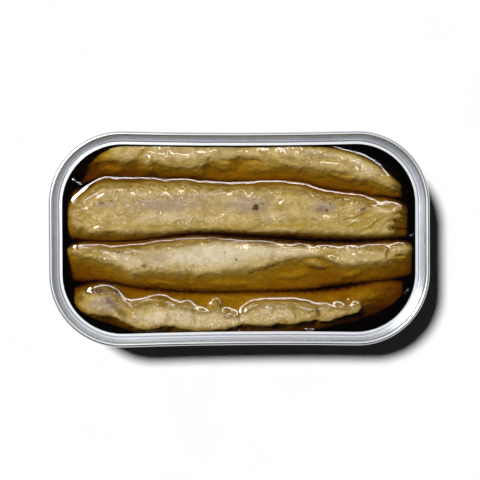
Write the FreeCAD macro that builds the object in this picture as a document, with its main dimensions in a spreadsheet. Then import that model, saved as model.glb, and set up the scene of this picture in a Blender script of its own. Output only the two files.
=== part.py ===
import FreeCAD, Part
import math
import os

import Sketcher

# Opened ring-pull fish tin of the quarter-club kind with four mackerel fillets
# lying lengthways in oil.  The drawn body and the ring left of the torn-off lid
# are joined by a double seam.  Millimetres, +X along the tin, +Z up, origin at
# the middle of the face that the tin stands on.

# Driving sizes: alias, value, what it measures.
SIZES = [
    ("seam_length", "105.0", "length over the seam"),
    ("seam_width", "59.3", "width over the seam"),
    ("seam_corner", "20.0", "corner radius over the seam"),
    ("waist", "0.4", "how far each long side draws in at its middle"),
    ("tin_height", "24.0", "floor to the top of the seam"),
    ("gauge", "0.23", "thickness of the aluminium sheet"),
    ("seam_gap", "0.05", "sealing compound between two layers of the seam"),
    ("seam_height", "3.0", "height of the seam"),
    ("body_hook", "2.1", "length of the body's hook"),
    ("cover_hook", "2.0", "length of the lid's hook"),
    ("chuck_depth", "2.7", "seam top to where the chuck wall starts to lean in"),
    ("chuck_lean", "0.45", "how far the chuck wall leans in"),
    ("chuck_radius", "0.8", "bend at the top of the leaning chuck wall"),
    ("countersink", "4.2", "seam top to the bottom of the groove round the panel"),
    ("groove_radius", "0.3", "inner radius of that groove"),
    ("ledge_rise", "0.5", "height of the panel's ledge over the groove"),
    ("ledge_step", "0.65", "groove centre to the start of the flat ledge"),
    ("ledge_radius", "0.3", "bend from the ledge into the groove"),
    ("ring_reach", "3.4", "seam's outside to the torn edge of the ledge"),
    ("shoulder_depth", "3.8", "seam top to the end of the body's upright neck"),
    ("shoulder_radius", "6.0", "bend from the neck to the tapered wall"),
    ("wall_draft", "0.9", "how far the wall tapers in towards the foot"),
    ("foot_radius", "2.8", "outer radius of the foot"),
    ("stand_width", "1.6", "flat width of the ring that the tin stands on"),
    ("step_radius", "0.8", "bend from the standing ring up to the panel"),
    ("step_run", "1.8", "standing ring's inner bend to the panel's bend"),
    ("panel_rise", "0.9", "height of the bottom panel over the standing ring"),
    ("panel_radius", "0.6", "bend from the step into the bottom panel"),
    ("panel_lap", "1.0", "flat margin of the bottom panel beside its bend"),
    ("headspace", "6.0", "seam top down to the oil's surface"),
    ("oil_film", "0.2", "oil between the fish and the bottom panel"),
    ("fish_clear", "0.5", "oil between the fish and the foot of the wall"),
    ("fish_gap", "0.7", "oil between two neighbouring fillets"),
]

# Places worked out from the sizes: alias, formula, what it is.
PLACES = [
    ("half_length", "Sizes.seam_length / 2", "middle to the outside of the seam"),
    ("corner_x", "half_length - Sizes.seam_corner", "corner centres, along"),
    ("corner_y", "Sizes.seam_width / 2 - Sizes.seam_corner", "corner centres, across"),
    ("waist_radius",
     "(corner_x * corner_x + Sizes.waist * Sizes.waist) / (2 * Sizes.waist) - Sizes.seam_corner",
     "radius of the drawn-in long side"),
    ("seam_thick", "5 * Sizes.gauge + 4 * Sizes.seam_gap", "five layers and four gaps"),
    ("fold_radius", "seam_thick / 2", "outer radius over the top of the seam"),
    ("fold_x", "half_length - fold_radius", "fold centre"),
    ("fold_up", "Sizes.tin_height - fold_radius", "fold centre"),
    ("curl_radius", "(3 * Sizes.gauge + 2 * Sizes.seam_gap) / 2", "outer radius under the seam"),
    ("curl_x", "half_length - curl_radius", "curl centre"),
    ("curl_up", "Sizes.tin_height - Sizes.seam_height + curl_radius", "curl centre"),
    ("cover_end_x", "half_length - 2 * curl_radius", "tip of the lid's hook"),
    ("cover_end_up", "Sizes.tin_height - Sizes.seam_height + Sizes.cover_hook", "tip of the lid's hook"),
    ("flange_radius", "(Sizes.gauge + 2 * Sizes.seam_gap) / 2", "inner radius of the body's fold"),
    ("body_end_x", "half_length - 2 * Sizes.gauge - Sizes.seam_gap", "tip of the body's hook"),
    ("body_end_up", "Sizes.tin_height - Sizes.gauge - Sizes.seam_gap - Sizes.body_hook",
     "tip of the body's hook"),
    ("chuck_x", "half_length - seam_thick - Sizes.chuck_radius", "chuck bend centre"),
    ("chuck_up", "Sizes.tin_height - Sizes.chuck_depth", "chuck bend centre"),
    ("groove_x", "half_length - seam_thick - Sizes.chuck_lean - Sizes.groove_radius", "groove centre"),
    ("groove_up", "Sizes.tin_height - Sizes.countersink + Sizes.groove_radius", "groove centre"),
    ("ledge_up", "Sizes.tin_height - Sizes.countersink + Sizes.ledge_rise", "top of the ledge"),
    ("lip_x", "groove_x - Sizes.ledge_step", "ledge bend centre"),
    ("lip_up", "ledge_up - Sizes.ledge_radius", "ledge bend centre"),
    ("torn_x", "half_length - Sizes.ring_reach", "torn edge"),
    ("wall_x", "body_end_x - Sizes.gauge - 2 * Sizes.seam_gap", "outside of the body's neck"),
    ("shoulder_x", "wall_x - Sizes.shoulder_radius", "shoulder bend centre"),
    ("shoulder_up", "Sizes.tin_height - Sizes.shoulder_depth", "shoulder bend centre"),
    ("foot_x", "wall_x - Sizes.wall_draft - Sizes.foot_radius", "foot bend centre"),
    ("stand_x", "foot_x - Sizes.stand_width", "inner bend centre of the standing ring"),
    ("step_x", "stand_x - Sizes.step_run", "panel bend centre"),
    ("step_up", "Sizes.panel_rise - Sizes.panel_radius", "panel bend centre"),
    ("panel_x", "step_x - Sizes.panel_lap", "where the rolled rim of the bottom ends"),
    ("panel_inset", "half_length - step_x + Sizes.panel_lap / 2", "inset of the flat panel"),
    ("floor_up", "Sizes.panel_rise + Sizes.gauge", "top of the bottom panel"),
    ("oil_level", "Sizes.tin_height - Sizes.headspace", "surface of the oil"),
    ("neck_x", "wall_x - Sizes.gauge", "inside of the body's neck"),
    ("fish_inset", "half_length - foot_x - Sizes.foot_radius + Sizes.gauge + Sizes.fish_clear",
     "seam's outside to the fish"),
]

# The lines between the fillets, seen from above, as shares of the room for the
# fish: at mid-length, at the left and right ends, and how late each bend comes.
EDGES = [
    {"middle": 1.00, "left": 0.78, "right": 0.53, "late_left": 4.0, "late_right": 3.0},
    {"middle": 0.59, "left": 0.42, "right": 0.36, "late_left": 8.0, "late_right": 2.4},
    {"middle": 0.04, "left": -0.05, "right": -0.06, "late_left": 2.6, "late_right": 3.0},
    {"middle": -0.565, "left": -0.45, "right": -0.49, "late_left": 3.0, "late_right": 3.0},
    {"middle": -1.00, "left": -0.76, "right": -0.74, "late_left": 5.0, "late_right": 5.0},
]

# Each fillet's ends as shares of the room's half length; how far its crest
# stands over the oil at mid-length and at its ends; and, as shares of its width,
# where its far side comes up out of the oil and where its skin turns down to the
# near flank, at even steps from the left end to the right.
FILLETS = [
    {
        "ends": (-0.93, 0.92),
        "middle": 0.85, "left": -1.6, "right": 0.3, "late_left": 4.0, "late_right": 5.0,
        "shore": 0.04,
        "crease": (0.45, 0.45, 0.50, 0.60, 0.52, 0.56, 0.63, 0.69, 0.60),
    },
    {
        "ends": (-0.96, 0.94),
        "middle": 0.95, "left": 0.9, "right": 0.8, "late_left": 6.0, "late_right": 6.0,
        "shore": 0.05,
        "crease": (0.75, 0.86, 0.91, 0.91, 0.90, 0.91, 0.92, 0.92, 0.85),
    },
    {
        "ends": (-0.96, 0.94),
        "middle": 0.95, "left": 0.6, "right": 0.8, "late_left": 4.0, "late_right": 5.0,
        "shore": 0.05,
        "crease": (0.28, 0.54, 0.65, 0.70, 0.64, 0.49, 0.42, 0.53, 0.35),
    },
    {
        "ends": (-0.93, 0.92),
        "middle": 0.90, "left": 0.9, "right": -2.2, "late_left": 5.0, "late_right": 2.4,
        "shore": 0.12,
        "crease": (0.60, 0.63, 0.83, 0.87, 0.73, 0.73, 0.67, 0.53, 0.50),
    },
]

# Section of a fillet over its crown, from 0 at its far side, over 1 where it
# comes up out of the oil and 2 at its crease, to 3 at its near side: the place,
# and how far the flesh lies below the crest there.
CROWN = [
    (0.20, 4.50),
    (0.62, 2.00),
    (1.00, 0.80),
    (1.12, 0.28),
    (1.35, 0.04),
    (1.65, 0.00),
    (1.88, 0.28),
    (2.00, 0.80),
    (2.22, 1.60),
    (2.60, 2.20),
    (2.88, 3.30),
    (2.98, 5.60),
]
# The underside of the same section, back from near to far: share of the width,
# and how far it lies above the lowest point.
KEEL = [(1.00, 8.5), (0.95, 4.0), (0.80, 0.8), (0.50, 0.0), (0.20, 0.8), (0.05, 4.0), (0.00, 8.5)]
# Sections along a fillet, and the shape of its cut ends: their share of the full
# width, how suddenly the width falls to it, and how far the top comes down and
# the underside comes up there.
STATIONS = 17
END_WIDTH = 0.60
BLUNTNESS = 6.0
END_DROP = 0.7
END_LIFT = 2.6
# Unevenness of the lines and of the crests: height, and half waves over the length.
RIPPLES = [(0.24, 2.6), (0.14, 5.3)]
CREST_RIPPLE = 0.4


def fill_sheet(doc, name, rows, mark):
    """Writes one spreadsheet: alias, value or formula, and what it measures."""
    sheet = doc.addObject("Spreadsheet::Sheet", name)
    for line, (alias, text, note) in enumerate(rows, start=1):
        sheet.set(f"A{line}", alias)
        sheet.set(f"B{line}", mark + text)
        sheet.setAlias(f"B{line}", alias)
        sheet.set(f"C{line}", note)
    doc.recompute()
    return sheet


def heading(first, second):
    """Direction of the straight run between two bends (x, up, signed radius).

    A bend with a positive radius turns left and one with a negative turns right.
    """
    along = second[0] - first[0]
    up = second[1] - first[1]
    lean = (second[2] - first[2]) / math.hypot(along, up)
    return math.atan2(up, along) - math.asin(lean)


def on_bend(bend, direction):
    """Point of a bend where the path runs in the given direction."""
    x = bend[0] + bend[2] * math.sin(direction)
    up = bend[1] - bend[2] * math.cos(direction)
    return FreeCAD.Vector(x, up, 0)


def add_skin(sketch, bends):
    """Draws one face of the sheet as straight runs and tangent bends.

    The first and last entries are the free ends, bends of no radius.  Returns
    the runs and the bends as (geometry, first point, last point).
    """
    runs = []
    curves = []
    directions = []
    for first, second in zip(bends, bends[1:]):
        direction = heading(first, second)
        line = Part.LineSegment(on_bend(first, direction), on_bend(second, direction))
        runs.append((sketch.addGeometry(line, False), 1, 2))
        directions.append(direction)
    for bend, before, after in zip(bends[1:-1], directions, directions[1:]):
        centre = FreeCAD.Vector(bend[0], bend[1], 0)
        circle = Part.Circle(centre, FreeCAD.Vector(0, 0, 1), abs(bend[2]))
        if bend[2] > 0:
            while after < before:
                after += 2 * math.pi
            arc = Part.ArcOfCircle(circle, before - math.pi / 2, after - math.pi / 2)
            curves.append((sketch.addGeometry(arc, False), 1, 2))
        else:
            while after > before:
                after -= 2 * math.pi
            arc = Part.ArcOfCircle(circle, after + math.pi / 2, before + math.pi / 2)
            curves.append((sketch.addGeometry(arc, False), 2, 1))
    for before, curve, after in zip(runs, curves, runs[1:]):
        sketch.addConstraint(Sketcher.Constraint("Tangent", before[0], 2, curve[0], curve[1]))
        sketch.addConstraint(Sketcher.Constraint("Tangent", curve[0], curve[2], after[0], 1))
    return runs, curves


def bind(sketch, constraint, expression):
    """Adds a dimension and ties it to the sheets."""
    index = sketch.addConstraint(constraint)
    sketch.setExpression(f"Constraints[{index}]", expression)


def pin(sketch, geometry, point, place, values):
    """Ties a point of a sketch to two cells: (across, up)."""
    bind(sketch, Sketcher.Constraint("DistanceX", geometry, point, values[0]), place[0])
    bind(sketch, Sketcher.Constraint("DistanceY", geometry, point, values[1]), place[1])


def plane_of(body, role):
    """One of the body's own origin planes."""
    for feature in body.Origin.OriginFeatures:
        if feature.Role == role:
            return feature
    raise RuntimeError(f"{body.Label} has no {role}")


def new_sketch(body, name, role):
    """Empty sketch on one of the body's origin planes."""
    sketch = body.newObject("Sketcher::SketchObject", name)
    sketch.AttachmentSupport = [(plane_of(body, role), "")]
    sketch.MapMode = "FlatFace"
    return sketch


def cell(doc, expression):
    """Value of a cell named as Sheet.alias."""
    sheet, alias = expression.split(".")
    return float(getattr(doc.getObject(sheet), alias))


def outline_sketch(doc, body, name, inset):
    """The tin's outline from above, drawn in by an inset: straight short sides,
    round corners and shallow waisted long sides.
    """
    gap = cell(doc, inset) if inset else 0.0
    take = f" - {inset}" if inset else ""
    give = f" + {inset}" if inset else ""
    corner_x = cell(doc, "Places.corner_x")
    corner_y = cell(doc, "Places.corner_y")
    radius = cell(doc, "Sizes.seam_corner") - gap
    waist = cell(doc, "Places.waist_radius") + gap
    reach = corner_x + radius
    turn = math.asin(corner_x / (waist + radius))
    waist_y = corner_y + math.cos(turn) * (waist + radius)
    axis = FreeCAD.Vector(0, 0, 1)
    sketch = new_sketch(body, name, "XY_Plane")
    corners = []
    for sign_x, sign_y, start in ((1, 1, 0), (-1, 1, 90), (-1, -1, 180), (1, -1, 270)):
        circle = Part.Circle(FreeCAD.Vector(sign_x * corner_x, sign_y * corner_y, 0), axis, radius)
        low = math.radians(start)
        high = math.radians(start + 90)
        if sign_x * sign_y > 0:
            high += turn
        else:
            low -= turn
        corners.append(sketch.addGeometry(Part.ArcOfCircle(circle, low, high), False))
    quarter = math.pi / 2
    far_circle = Part.Circle(FreeCAD.Vector(0, waist_y, 0), axis, waist)
    near_circle = Part.Circle(FreeCAD.Vector(0, -waist_y, 0), axis, waist)
    far_side = Part.ArcOfCircle(far_circle, -quarter - turn, -quarter + turn)
    near_side = Part.ArcOfCircle(near_circle, quarter - turn, quarter + turn)
    far = sketch.addGeometry(far_side, False)
    near = sketch.addGeometry(near_side, False)
    left = sketch.addGeometry(
        Part.LineSegment(FreeCAD.Vector(-reach, corner_y, 0), FreeCAD.Vector(-reach, -corner_y, 0)), False)
    right = sketch.addGeometry(
        Part.LineSegment(FreeCAD.Vector(reach, -corner_y, 0), FreeCAD.Vector(reach, corner_y, 0)), False)
    joints = [
        (right, 2, corners[0], 1),
        (corners[0], 2, far, 2),
        (far, 1, corners[1], 1),
        (corners[1], 2, left, 1),
        (left, 2, corners[2], 1),
        (corners[2], 2, near, 2),
        (near, 1, corners[3], 1),
        (corners[3], 2, right, 1),
    ]
    for joint in joints:
        sketch.addConstraint(Sketcher.Constraint("Tangent", *joint))
    pin(sketch, corners[0], 3, ("Places.corner_x", "Places.corner_y"), (corner_x, corner_y))
    sketch.addConstraint(Sketcher.Constraint("Symmetric", corners[0], 3, corners[1], 3, -2))
    sketch.addConstraint(Sketcher.Constraint("Symmetric", corners[0], 3, corners[3], 3, -1))
    sketch.addConstraint(Sketcher.Constraint("Symmetric", corners[0], 3, corners[2], 3, -1, 1))
    bind(sketch, Sketcher.Constraint("Radius", corners[0], radius), "Sizes.seam_corner" + take)
    for other in corners[1:]:
        sketch.addConstraint(Sketcher.Constraint("Equal", corners[0], other))
    bind(sketch, Sketcher.Constraint("Radius", far, waist), "Places.waist_radius" + give)
    sketch.addConstraint(Sketcher.Constraint("Equal", far, near))
    return sketch


def read_bends(doc, path):
    """Turns (x cell, up cell, radius cell, turn) rows into numbers."""
    bends = []
    for across, up, radius, turn in path:
        size = turn * cell(doc, radius) if radius else 0.0
        bends.append((cell(doc, across), cell(doc, up), size))
    return bends


def pin_skin(sketch, path, bends, runs, curves):
    """Ties the ends, centres and radii of a skin to the sheets."""
    pin(sketch, runs[0][0], 1, path[0][:2], bends[0][:2])
    pin(sketch, runs[-1][0], 2, path[-1][:2], bends[-1][:2])
    for (across, up, radius, _), bend, curve in zip(path[1:-1], bends[1:-1], curves):
        pin(sketch, curve[0], 3, (across, up), bend[:2])
        bind(sketch, Sketcher.Constraint("Radius", curve[0], abs(bend[2])), radius)


def sheet_sketch(doc, body, name, path, side):
    """Cross-section of a bent sheet: the skin along the path, and the second
    skin one gauge to its left (side 1) or right (side -1).
    """
    sketch = new_sketch(body, name, "XZ_Plane")
    gauge = cell(doc, "Sizes.gauge")
    bends = read_bends(doc, path)
    runs, curves = add_skin(sketch, bends)
    pin_skin(sketch, path, bends, runs, curves)

    first = heading(bends[0], bends[1])
    last = heading(bends[-2], bends[-1])
    shift = side * gauge
    second = [(x, up, radius - shift) for x, up, radius in bends]
    second[0] = (bends[0][0] - shift * math.sin(first), bends[0][1] + shift * math.cos(first), 0.0)
    second[-1] = (bends[-1][0] - shift * math.sin(last), bends[-1][1] + shift * math.cos(last), 0.0)
    other_runs, other_curves = add_skin(sketch, second)
    for row, bend, curve, other in zip(path[1:-1], second[1:-1], curves, other_curves):
        sketch.addConstraint(Sketcher.Constraint("Coincident", curve[0], 3, other[0], 3))
        sign = "-" if row[3] * side > 0 else "+"
        radius = Sketcher.Constraint("Radius", other[0], abs(bend[2]))
        bind(sketch, radius, f"{row[2]} {sign} Sizes.gauge")
    ends = ((runs[0][0], other_runs[0][0], 1), (runs[-1][0], other_runs[-1][0], 2))
    for run, other_run, point in ends:
        start = sketch.getPoint(run, point)
        finish = sketch.getPoint(other_run, point)
        cap = sketch.addGeometry(Part.LineSegment(start, finish), False)
        sketch.addConstraint(Sketcher.Constraint("Coincident", cap, 1, run, point))
        sketch.addConstraint(Sketcher.Constraint("Coincident", cap, 2, other_run, point))
        sketch.addConstraint(Sketcher.Constraint("Perpendicular", cap, run))
        sketch.addConstraint(Sketcher.Constraint("Perpendicular", cap, other_run))
    return sketch


def sweep(body, name, profile, spine):
    """Carries a section once round the tin."""
    pipe = body.newObject("PartDesign::AdditivePipe", name)
    pipe.Profile = profile
    pipe.Spine = (spine, [f"Edge{number + 1}" for number in range(len(spine.Shape.Edges))])
    profile.Visibility = False
    spine.Visibility = False
    return pipe


BODY_PATH = [
    ("Places.panel_x", "Sizes.panel_rise", "", 0),
    ("Places.step_x", "Places.step_up", "Sizes.panel_radius", -1),
    ("Places.stand_x", "Sizes.step_radius", "Sizes.step_radius", 1),
    ("Places.foot_x", "Sizes.foot_radius", "Sizes.foot_radius", 1),
    ("Places.shoulder_x", "Places.shoulder_up", "Sizes.shoulder_radius", 1),
    ("Places.fold_x", "Places.fold_up", "Places.flange_radius", -1),
    ("Places.body_end_x", "Places.body_end_up", "", 0),
]

LID_PATH = [
    ("Places.torn_x", "Places.ledge_up", "", 0),
    ("Places.lip_x", "Places.lip_up", "Sizes.ledge_radius", -1),
    ("Places.groove_x", "Places.groove_up", "Sizes.groove_radius", 1),
    ("Places.chuck_x", "Places.chuck_up", "Sizes.chuck_radius", 1),
    ("Places.fold_x", "Places.fold_up", "Places.fold_radius", -1),
    ("Places.curl_x", "Places.curl_up", "Places.curl_radius", -1),
    ("Places.cover_end_x", "Places.cover_end_up", "", 0),
]


def build_can_body(doc):
    """Drawn body: recessed bottom, foot, tapered wall, neck and hooked flange."""
    body = doc.addObject("PartDesign::Body", "can_body")
    spine = outline_sketch(doc, body, "can_body_outline", "")
    profile = sheet_sketch(doc, body, "can_body_section", BODY_PATH, 1)
    doc.recompute()
    sweep(body, "can_body_wall", profile, spine)
    panel = outline_sketch(doc, body, "can_body_panel_outline", "Places.panel_inset")
    panel.setExpression("AttachmentOffset.Base.z", "Sizes.panel_rise")
    pad = body.newObject("PartDesign::Pad", "can_body_panel")
    pad.Profile = panel
    pad.setExpression("Length", "Sizes.gauge")
    doc.recompute()
    return body


def build_lid_ring(doc):
    """Ring left of the lid: torn ledge, groove, chuck wall and seamed curl."""
    body = doc.addObject("PartDesign::Body", "lid_ring")
    spine = outline_sketch(doc, body, "lid_ring_outline", "")
    profile = sheet_sketch(doc, body, "lid_ring_section", LID_PATH, -1)
    doc.recompute()
    sweep(body, "lid_ring_sweep", profile, spine)
    doc.recompute()
    return body


def build_oil_fill(doc):
    """Everything inside the can below the oil's surface."""
    body = doc.addObject("PartDesign::Body", "oil_fill")
    spine = outline_sketch(doc, body, "oil_fill_outline", "")
    profile = new_sketch(body, "oil_fill_section", "XZ_Plane")
    gauge = cell(doc, "Sizes.gauge")
    bends = [(x, up, radius - gauge) for x, up, radius in read_bends(doc, BODY_PATH[:-1])]
    bends[0] = (cell(doc, "Places.panel_x"), cell(doc, "Places.floor_up"), 0.0)
    bends[-1] = (cell(doc, "Places.neck_x"), cell(doc, "Places.fold_up"), 0.0)
    runs, curves = add_skin(profile, bends)
    pin(profile, runs[0][0], 1, ("Places.panel_x", "Places.floor_up"), bends[0][:2])
    pin(profile, runs[-1][0], 2, ("Places.neck_x", "Places.fold_up"), bends[-1][:2])
    for (across, up, radius, turn), bend, curve in zip(BODY_PATH[1:-2], bends[1:-1], curves):
        pin(profile, curve[0], 3, (across, up), bend[:2])
        sign = "-" if turn > 0 else "+"
        size = Sketcher.Constraint("Radius", curve[0], abs(bend[2]))
        bind(profile, size, f"{radius} {sign} Sizes.gauge")
    low = FreeCAD.Vector(bends[0][0], bends[0][1], 0)
    high = FreeCAD.Vector(bends[-1][0], bends[-1][1], 0)
    back = FreeCAD.Vector(low.x, high.y, 0)
    top = profile.addGeometry(Part.LineSegment(high, back), False)
    side = profile.addGeometry(Part.LineSegment(back, low), False)
    profile.addConstraint(Sketcher.Constraint("Coincident", top, 1, runs[-1][0], 2))
    profile.addConstraint(Sketcher.Constraint("Coincident", top, 2, side, 1))
    profile.addConstraint(Sketcher.Constraint("Coincident", side, 2, runs[0][0], 1))
    profile.addConstraint(Sketcher.Constraint("Horizontal", top))
    profile.addConstraint(Sketcher.Constraint("Vertical", side))
    doc.recompute()
    sweep(body, "oil_fill_ring", profile, spine)
    core = outline_sketch(doc, body, "oil_fill_core_outline", "Places.panel_inset")
    core.setExpression("AttachmentOffset.Base.z", "Places.floor_up")
    pad = body.newObject("PartDesign::Pad", "oil_fill_core")
    pad.Profile = core
    pad.setExpression("Length", "Places.fold_up - Places.floor_up")
    doc.recompute()
    full = body.Shape.Volume
    surface = outline_sketch(doc, body, "oil_fill_surface", "")
    surface.setExpression("AttachmentOffset.Base.z", "Places.oil_level")
    cut = body.newObject("PartDesign::Pocket", "oil_fill_level")
    cut.Profile = surface
    cut.Reversed = True
    cut.setExpression("Length", "Sizes.headspace")
    doc.recompute()
    if body.Shape.Volume > full * 0.98:
        raise RuntimeError("the oil was not levelled")
    return body


def bend_between(row, share):
    """A value that runs from its middle one to its end one, late in the length."""
    side = "left" if share < 0 else "right"
    return row["middle"] + (row[side] - row["middle"]) * abs(share) ** row["late_" + side]


def along_steps(values, share):
    """A value eased between even steps, for a share from -1 to 1."""
    place = (share + 1) / 2 * (len(values) - 1)
    step = min(int(place), len(values) - 2)
    part = place - step
    eased = part * part * (3 - 2 * part)
    return values[step] + (values[step + 1] - values[step]) * eased


def ripple(share, number):
    """Unevenness at a share of the length, different for each number."""
    return sum(height * math.sin(waves * math.pi * share + number * waves) for height, waves in RIPPLES)


class Room:
    """The space in the tin that the fish may fill, seen from above."""

    def __init__(self, doc):
        self.inset = cell(doc, "Places.fish_inset")
        self.corner = (cell(doc, "Places.corner_x"), cell(doc, "Places.corner_y"))
        self.radius = cell(doc, "Sizes.seam_corner")
        self.waist = cell(doc, "Places.waist_radius")
        self.half_length = cell(doc, "Places.half_length") - self.inset
        self.half_width = cell(doc, "Sizes.seam_width") / 2 - self.inset
        self.gap = cell(doc, "Sizes.fish_gap")

    def wall(self, x):
        """Distance from the long axis to the room's long side."""
        beyond = abs(x) - self.corner[0]
        if beyond > 0:
            return self.corner[1] + math.sqrt((self.radius - self.inset) ** 2 - beyond ** 2)
        far = self.corner[1] + math.sqrt((self.waist + self.radius) ** 2 - self.corner[0] ** 2)
        return far - math.sqrt((self.waist + self.inset) ** 2 - x ** 2)

    def line(self, number, x):
        """Line between two neighbouring fillets, or between one and the wall."""
        share = x / self.half_length
        across = bend_between(EDGES[number], share) * self.half_width
        if number in (0, len(EDGES) - 1):
            limit = self.wall(x)
            return max(-limit, min(limit, across))
        return across + ripple(share, number)


def fillet_section(room, number, x, levels):
    """Closed outline across a fillet at one place along the tin."""
    row = FILLETS[number]
    left, right = (share * room.half_length for share in row["ends"])
    along = 2 * (x - left) / (right - left) - 1
    fullness = max(0.0, 1 - abs(along) ** BLUNTNESS) ** (1 / BLUNTNESS)
    far = room.line(number, x) - (room.gap / 2 if number else 0.0)
    near = room.line(number + 1, x) + (room.gap / 2 if number + 2 < len(EDGES) else 0.0)
    middle = (far + near) / 2
    width = (far - near) * (END_WIDTH + (1 - END_WIDTH) * fullness)
    bottom, oil = levels
    floor = bottom + END_LIFT * (1 - fullness)
    crest = oil + bend_between(row, along) - END_DROP * (1 - fullness)
    crest += CREST_RIPPLE * ripple(along, number)
    slim = (crest - floor) / (oil - bottom)
    marks = (0.0, row["shore"], along_steps(row["crease"], along), 1.0)
    points = []
    for place, fall in CROWN:
        mark = min(int(place), len(marks) - 2)
        share = marks[mark] + (marks[mark + 1] - marks[mark]) * (place - mark)
        points.append((share, crest - fall * slim))
    points += [(share, floor + rise * slim) for share, rise in KEEL]
    outline = [FreeCAD.Vector(x, middle + width * (0.5 - share), up) for share, up in points]
    curve = Part.BSplineCurve()
    curve.interpolate(outline, PeriodicFlag=True)
    return Part.Wire([curve.toShape()])


def build_fillet(doc, number):
    """One fillet: sections across it, lofted along the tin."""
    room = Room(doc)
    levels = (cell(doc, "Places.floor_up") + cell(doc, "Sizes.oil_film"), cell(doc, "Places.oil_level"))
    left, right = (share * room.half_length for share in FILLETS[number]["ends"])
    sections = []
    for station in range(STATIONS):
        share = -math.cos(math.pi * station / (STATIONS - 1))
        x = (left + right) / 2 + share * (right - left) / 2
        section = doc.addObject("Part::Feature", f"fillet_{number + 1}_section_{station + 1}")
        section.Shape = fillet_section(room, number, x, levels)
        section.Visibility = False
        sections.append(section)
    loft = doc.addObject("Part::Loft", f"fillet_{number + 1}")
    loft.Sections = sections
    loft.Solid = True
    loft.Ruled = False
    doc.recompute()
    return loft


def build_oil(doc, fill, fillets):
    """The oil round the fish."""
    fish = doc.addObject("Part::Compound", "fish")
    fish.Links = fillets
    oil = doc.addObject("Part::Cut", "oil")
    oil.Base = fill
    oil.Tool = fish
    doc.recompute()
    return oil


def check(doc, nodes):
    """Stops unless every object is up to date and every node is a sound solid."""
    for item in doc.Objects:
        if "Invalid" in item.State or "Error" in item.State:
            raise RuntimeError(f"{item.Label} failed: {item.State}")
    for node in nodes:
        if node.Shape.isNull() or not node.Shape.isValid() or len(node.Shape.Solids) != 1:
            raise RuntimeError(f"{node.Label} is not one sound solid")


document = FreeCAD.newDocument("mackerel_tin")
fill_sheet(document, "Sizes", SIZES, "")
fill_sheet(document, "Places", PLACES, "=")
tin = [build_can_body(document), build_lid_ring(document)]
fish = [build_fillet(document, number) for number in range(len(FILLETS))]
oil = build_oil(document, build_oil_fill(document), fish)
nodes = tin + fish + [oil]
document.recompute()
check(document, nodes)
os.makedirs("parts", exist_ok=True)
for node in nodes:
    node.Placement = FreeCAD.Placement()
    node.Shape.exportStep(f"parts/{node.Label}.step")
    print(node.Label, round(node.Shape.Volume, 1), "mm3")
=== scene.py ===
"""An opened tin of mackerel: four fillets side by side in brown oil, in a bright metal tin.

Lengths are in millimetres and are turned into metres where a mesh is made.
X is along the tin, Y across it and Z up. A far side is one toward +Y.
"""

import math

import bpy
import numpy as np
from mathutils import Matrix, Vector
from mathutils.bvhtree import BVHTree


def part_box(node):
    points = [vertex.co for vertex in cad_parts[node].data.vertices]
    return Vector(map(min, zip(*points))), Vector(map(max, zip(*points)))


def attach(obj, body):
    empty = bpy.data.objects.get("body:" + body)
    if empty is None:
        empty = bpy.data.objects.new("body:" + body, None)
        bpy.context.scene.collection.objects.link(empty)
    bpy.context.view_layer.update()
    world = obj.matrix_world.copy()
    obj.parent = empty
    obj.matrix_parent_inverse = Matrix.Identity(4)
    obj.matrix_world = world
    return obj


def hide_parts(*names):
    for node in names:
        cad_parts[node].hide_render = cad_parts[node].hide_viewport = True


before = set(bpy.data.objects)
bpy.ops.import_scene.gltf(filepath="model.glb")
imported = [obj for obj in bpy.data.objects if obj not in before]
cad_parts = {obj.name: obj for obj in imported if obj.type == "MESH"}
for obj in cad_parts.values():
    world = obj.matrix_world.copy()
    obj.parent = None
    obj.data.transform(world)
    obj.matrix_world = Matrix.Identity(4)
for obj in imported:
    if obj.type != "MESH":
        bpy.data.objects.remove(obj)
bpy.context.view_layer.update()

MM = 0.001

# ------------------------------------------------ sizes and levels

oil_low, oil_high = (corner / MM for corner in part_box("oil"))
tin_low, tin_high = (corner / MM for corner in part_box("can_body"))
rim_low, rim_high = (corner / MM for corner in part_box("lid_ring"))
OIL_LEVEL = oil_high.z
OIL_HALF_LENGTH = oil_high.x - 0.05
OIL_HALF_WIDTH = oil_high.y - 0.05
OIL_WAIST = 0.36  # how far the oil's long sides draw in at their middle
OIL_CORNER = 18.8
WALL_TAPER = 0.052  # how far the tin's wall leans in for each millimetre down
WALL_GAP = 0.25  # between a fillet and the wall
# The oil's side below its surface: height, and how far it is in from the outline there.
OIL_SIDE = [(10.0, 0.45), (4.0, 0.76), (2.4, 0.86), (1.6, 1.2), (1.3, 2.2)]

FISH_FLOOR = 1.4  # underside of the fillets
FISH_MIDDLE = 9.0  # height at which they are widest
FISH_HALF = 7.4  # half width that the points of a section are spaced for
ARCH_SQUARENESS = 7
BELLY_SQUARENESS = 4
BROW = 0.45  # how far the flesh rounds down to the edge of what stands out of the oil
BROW_WIDTH = 1.4
FAR_SLOPE = 4.0  # how steeply a far side drops under the oil
WANDER = 0.40  # how far noise shifts the edges of spots and lumps
# Heights of the fine relief.
BUMPS = 0.13
GRAINS = 0.08
STRANDS = 0.09
GLEAM_GRAINS = 0.17
BLOCK = 4.6  # length of one block of muscle, where blocks show as scallops

FISH_MESH = 0.235
OIL_MESH = 0.27
FILM_MESH = 0.2  # grid on which the oil's surface is worked out

CAPILLARY = 1.9  # reach of a meniscus
WALL_RISE = 0.85  # how high the oil creeps up the wall
FILM_SINK = 0.35  # how far the film lies under the flesh where flesh stands clear
FILM_SWEEPS = 140
OVER_RELAX = 1.85


# ------------------------------------------------ small helpers


def smooth(t):
    """An even step from 0 to 1."""
    t = np.clip(t, 0.0, 1.0)
    return t * t * (3.0 - 2.0 * t)


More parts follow.
